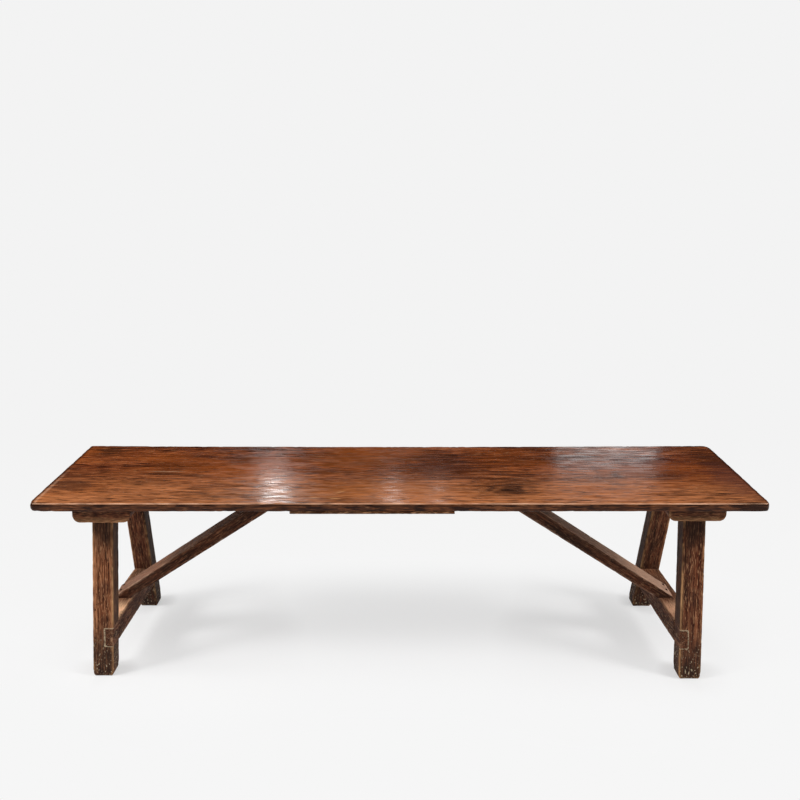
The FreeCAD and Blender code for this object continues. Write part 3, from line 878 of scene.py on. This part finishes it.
@dataclass
class Top:
    """The plank, the strip under its front edge and the strip's nails."""

    cell_mm: tuple[float, float] = (10.0, 9.0)
    strip_wear_mm: float = 0.8

    def build(self, nodes: dict[str, bpy.types.Object]) -> None:
        """Build and dress the top's pieces on the frame's nodes."""
        Plank("top_plank", Run.X, WaxedWalnut(), "top_wood", 1, cell_mm=self.cell_mm, hewn_mm=0.5, wear_mm=2.2,
              rub_share=0.0, wide=1.5).build(nodes)
        strip = OldOak(dark="#2b160b", middle="#4f2a16", light="#704526")
        Timber("front_batten", Run.X, strip, "batten_wood", 2, cell_mm=(8.0, 4.0), hewn_mm=0.3,
               wear_mm=self.strip_wear_mm, reach_mm=4.0, rub_share=0.4).build(nodes)
        Fasteners(("batten_nails",), ForgedIron()).dress(nodes)


@dataclass
class Trestle:
    """One trestle: bearer, two legs, stretcher, brace and what holds them together.

    Attributes:
        side: End of the table that it stands at.
        seed: Number of its first timber.
        front_oak: Finish of its front leg; on the left trestle a paler copy that paints the light falling on that leg.
        stepped_and_lit: Colour of its stretcher's top where feet have rested, paled further by painted light.
        dust_and_sheen_share: How much dust and painted sheen its brace's upper side shows.
        lap_mm: Heights between which the laps' outlines show.
    """

    side: Side
    seed: int
    front_oak: OldOak
    stepped_and_lit: str
    dust_and_sheen_share: float
    lap_mm: tuple[float, float] = (112.0, 212.0)

    def build(self, nodes: dict[str, bpy.types.Object]) -> None:
        """Build and dress the trestle's pieces on the frame's nodes."""
        side = self.side.value
        oak = OldOak()
        leg_oak = {"front": self.front_oak, "back": oak}
        # The stretcher's top colour is partly wear and partly painted light.
        stepped_and_lit_oak = OldOak(rubbed_and_highlight=self.stepped_and_lit)
        # The brace's upper side gets pale dust and a painted sheen.
        dust_and_sheen_oak = OldOak(rubbed_and_highlight="#bf9a82")
        Bearer(f"{side}_bearer", Run.Y, oak, "trestle_wood", self.seed, rub_share=0.4, wide=7.0).build(nodes)
        for step, end in enumerate(("front", "back")):
            Leg(f"{side}_{end}_leg", Run.Z, leg_oak[end], "trestle_wood", self.seed + 1 + step,
                lap_mm=self.lap_mm).build(nodes)
        Stretcher(f"{side}_stretcher", Run.Y, stepped_and_lit_oak, "trestle_wood", self.seed + 3,
                  lap_mm=self.lap_mm).build(nodes)
        Brace(f"{side}_brace", Run.X, dust_and_sheen_oak, "trestle_wood", self.seed + 4,
              dust_and_sheen_share=self.dust_and_sheen_share).build(nodes)
        Fasteners((f"{side}_bearer_pegs", f"{side}_leg_wedges", f"{side}_lap_pegs"), RivenPeg()).dress(nodes)
        Fasteners((f"{side}_brace_head_nails", f"{side}_brace_foot_nails"), ForgedIron()).dress(nodes)


@dataclass
class Lamp:
    """Soft rectangular lamp that the camera doesn't see.

    Attributes:
        name: Its name.
        place: Where it hangs.
        target: What it faces.
        size: Its width and height.
        power: Its power in watts.
        glossy: Whether it shows in a gloss.
    """

    name: str
    place: tuple[float, float, float]
    target: tuple[float, float, float]
    size: tuple[float, float]
    power: float
    glossy: bool = True

    def hang(self) -> None:
        """Make the lamp."""
        data = bpy.data.lights.new(self.name, "AREA")
        data.shape = "RECTANGLE"
        data.size, data.size_y = self.size
        data.energy = self.power
        item = bpy.data.objects.new(self.name, data)
        item.location = self.place
        item.rotation_euler = (Vector(self.target) - Vector(self.place)).to_track_quat("-Z", "Y").to_euler()
        item.visible_camera = False
        item.visible_glossy = self.glossy
        bpy.context.scene.collection.objects.link(item)


@dataclass
class Studio:
    """Pale floor, soft light, dark cards for the gloss, and the camera.

    Attributes:
        feet: Places of the table's feet.
        eye: Place of the camera.
        pitch: How far it looks down, in radians.
        focal_px: Focal length in pixels of the square image.
    """

    feet: tuple[tuple[float, float], ...]
    eye: tuple[float, float, float] = (0.0025, -3.8368, 2.0231)
    pitch: float = 0.24251
    focal_px: float = 949.7
    sensor_mm: float = 36.0
    floor_side: float = 24.0
    floor_colour: str = "#f4f4f4"
    near_colour: str = "#f6f6f6"
    back_colour: str = "#f3f3f3"
    card_colour: str = "#191614"
    shadow_reach: tuple[float, float, float] = (2.2, 0.75, 1.0)
    foot_reach: float = 0.24
    foot_share: float = 0.5
    trestle_x: float = 0.82
    trestle_reach: float = 0.86
    trestle_share: float = 0.6
    pale_share: float = 0.69
    dim: float = 0.3
    card_away: float = 4.4
    card_half: float = 5.0
    card_low: float = 0.3
    card_high: float = 7.0
    lamps: tuple[Lamp, ...] = (
        Lamp("overhead", (0.0, -0.8, 3.6), (0.0, 0.0, 0.0), (5.0, 2.4), 26.0),
        Lamp("left_key", (-5.2, -2.0, 4.0), (-0.3, 0.0, 0.3), (1.3, 1.3), 178.0),
        Lamp("right_key", (5.2, -2.0, 4.0), (0.3, 0.0, 0.3), (1.3, 1.3), 156.0),
        Lamp("back_fill", (0.0, 3.8, 2.0), (0.0, 0.0, 0.2), (5.0, 1.0), 56.0, False),
        Lamp("left_fill", (-3.8, -0.4, 2.0), (-1.1, 0.0, 0.2), (1.0, 1.0), 34.0, False),
        Lamp("right_fill", (3.8, -1.0, 2.0), (1.1, 0.0, 0.2), (1.0, 1.0), 22.0, False),
        Lamp("left_window", (-0.915, 2.8, 2.08), (-0.4, -0.3, 0.76), (0.14, 0.56), 3.9),
        Lamp("middle_window", (-0.055, 2.8, 2.05), (0.0, -0.3, 0.76), (0.06, 0.4), 0.8),
        Lamp("right_window", (0.28, 2.8, 2.05), (0.2, -0.3, 0.76), (0.05, 0.3), 0.4),
        Lamp("far_window", (1.5, 2.8, 1.42), (0.9, 0.2, 0.76), (0.7, 0.36), 1.8),
    )

    def camera(self) -> None:
        """Make the camera at the photograph's viewing angle."""
        data = bpy.data.cameras.new("camera")
        data.sensor_width = self.sensor_mm
        data.lens = self.focal_px / IMAGE_SIDE * self.sensor_mm
        item = bpy.data.objects.new("camera", data)
        item.location = self.eye
        item.rotation_euler = (math.radians(90) - self.pitch, 0.0, 0.0)
        bpy.context.scene.collection.objects.link(item)
        bpy.context.scene.camera = item

    def sheet(self, name: str, material: bpy.types.Material, half: float) -> bpy.types.Object:
        """Make a square sheet of the studio.

        Args:
            name: Its name.
            material: Its material.
            half: Half of its side.

        Returns:
            The sheet, level at the origin.
        """
        shape = bmesh.new()
        bmesh.ops.create_grid(shape, x_segments=1, y_segments=1, size=half)
        mesh = bpy.data.meshes.new(name)
        shape.to_mesh(mesh)
        shape.free()
        mesh.materials.append(material)
        item = bpy.data.objects.new(name, mesh)
        bpy.context.scene.collection.objects.link(item)
        return item

    def seen(self, tree: bpy.types.NodeTree) -> bpy.types.NodeSocket:
        """Whether the camera, a gloss or glass looks at a surface."""
        straight = add(tree, "ShaderNodeLightPath", None, None, "Is Camera Ray")
        gloss = add(tree, "ShaderNodeLightPath", None, None, "Is Glossy Ray")
        glass = add(tree, "ShaderNodeLightPath", None, None, "Is Transmission Ray")
        either = add(tree, MATH, {"operation": "MAXIMUM"}, {0: straight, 1: gloss})
        return add(tree, MATH, {"operation": "MAXIMUM"}, {0: either, 1: glass})

    def floor(self) -> None:
        """Lay the floor, which keeps the shadow and fades to the pale background."""
        material = new_material("studio_paper")
        tree = material.node_tree
        place = add(tree, COORDINATES, None, None, "Object")
        spread = add(tree, MAPPING, {"vector_type": "TEXTURE"}, {
            "Vector": place, "Location": (0.0, 0.1, 0.0), "Scale": self.shadow_reach})
        away = add(tree, LENGTH, {"operation": "LENGTH"}, {0: spread}, "Value")
        share = add(tree, RANGE, {"interpolation_type": "SMOOTHSTEP"}, {
            0: away, 1: 0.25, 2: 1.0, 3: self.pale_share, 4: 1.0})
        spots = [(x, y, self.foot_reach, self.foot_share) for x, y in self.feet]
        spots += [(x, 0.0, self.trestle_reach, self.trestle_share) for x in (-self.trestle_x, self.trestle_x)]
        for x, y, reach, least in spots:
            own = add(tree, MAPPING, {"vector_type": "TEXTURE"}, {
                "Vector": place, "Location": (x, y, 0.0), "Scale": (reach, reach, 1.0)})
            off = add(tree, LENGTH, {"operation": "LENGTH"}, {0: own}, "Value")
            near = add(tree, RANGE, {"interpolation_type": "SMOOTHSTEP"}, {
                0: off, 1: 0.25, 2: 1.0, 3: least, 4: 1.0})
            share = add(tree, MATH, {"operation": "MINIMUM"}, {0: share, 1: near})
        depth = add(tree, RANGE, None, {0: add(tree, SPLIT, None, {0: place}, "Y"), 1: -0.4, 2: 3.0, 3: 0.0, 4: 1.0})
        pale = add(tree, MIX, RGBA, {0: depth, 6: linear(self.near_colour), 7: linear(self.back_colour)}, COLOUR_OUT)
        amount = add(tree, MATH, {"operation": "MULTIPLY"}, {0: share, 1: self.seen(tree)})
        matt = add(tree, "ShaderNodeBsdfDiffuse", None, {"Color": linear(self.floor_colour)})
        glow = add(tree, "ShaderNodeEmission", None, {"Color": pale})
        both = add(tree, "ShaderNodeMixShader", None, {0: amount, 1: matt, 2: glow})
        add(tree, OUTPUT, None, {"Surface": both})
        self.sheet("floor", material, self.floor_side / 2)

    def cards(self) -> None:
        """Stand dark cards round the set, which only the wax's gloss sees, so that the figure isn't veiled."""
        material = new_material("black_card")
        tree = material.node_tree
        matt = add(tree, "ShaderNodeBsdfDiffuse", None, {"Color": linear(self.card_colour)})
        add(tree, OUTPUT, None, {"Surface": matt})
        middle = (self.card_low + self.card_high) / 2
        for index, name in enumerate(("back_card", "left_card", "front_card", "right_card")):
            card = self.sheet(name, material, self.card_half)
            turn = math.radians(90 * index)
            card.scale = (1.0, (self.card_high - self.card_low) / 2 / self.card_half, 1.0)
            card.rotation_euler = (math.radians(90), 0.0, turn)
            card.location = (-math.sin(turn) * self.card_away, math.cos(turn) * self.card_away, middle)
            card.visible_camera = False
            card.visible_diffuse = False
            card.visible_shadow = False
            card.visible_transmission = False

    def world(self) -> None:
        """Set dim surroundings that look pale."""
        world = bpy.data.worlds.new("studio")
        world.use_nodes = True
        tree = world.node_tree
        tree.nodes.clear()
        dim = add(tree, "ShaderNodeBackground", None, {"Color": linear(self.back_colour), "Strength": self.dim})
        pale = add(tree, "ShaderNodeBackground", None, {"Color": linear(self.back_colour), "Strength": 1.0})
        both = add(tree, "ShaderNodeMixShader", None, {0: self.seen(tree), 1: dim, 2: pale})
        add(tree, "ShaderNodeOutputWorld", None, {"Surface": both})
        bpy.context.scene.world = world

    def build(self) -> None:
        """Set the whole studio up."""
        self.camera()
        self.floor()
        self.cards()
        self.world()
        for lamp in self.lamps:
            lamp.hang()
        bpy.context.scene.view_settings.view_transform = "Standard"


def foot_of(leg: str) -> tuple[float, float]:
    """Find where a leg stands.

    Args:
        leg: Name of the leg's node.

    Returns:
        The middle of its foot, along and across the table.
    """
    low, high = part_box(leg)
    across = low.y if high.y < 0 else high.y
    return (low.x + high.x) / 2, across * FOOT_SHARE


def main() -> None:
    """Build the table on the frame and set the studio up."""
    logging.basicConfig(level=logging.INFO)
    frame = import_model()
    Top().build(frame["nodes"])
    # The left front leg's oak is a paler copy, painted light on that leg.
    Trestle(Side.LEFT, 3, OldOak(dark="#4c2719", middle="#875236", light="#b87e5a"), "#ffca9f", 0.3).build(frame["nodes"])
    Trestle(Side.RIGHT, 8, OldOak(), "#d8a684", 0.9).build(frame["nodes"])
    Studio(tuple(foot_of(name) for name in LEGS)).build()


if __name__ == "__main__":
    main()
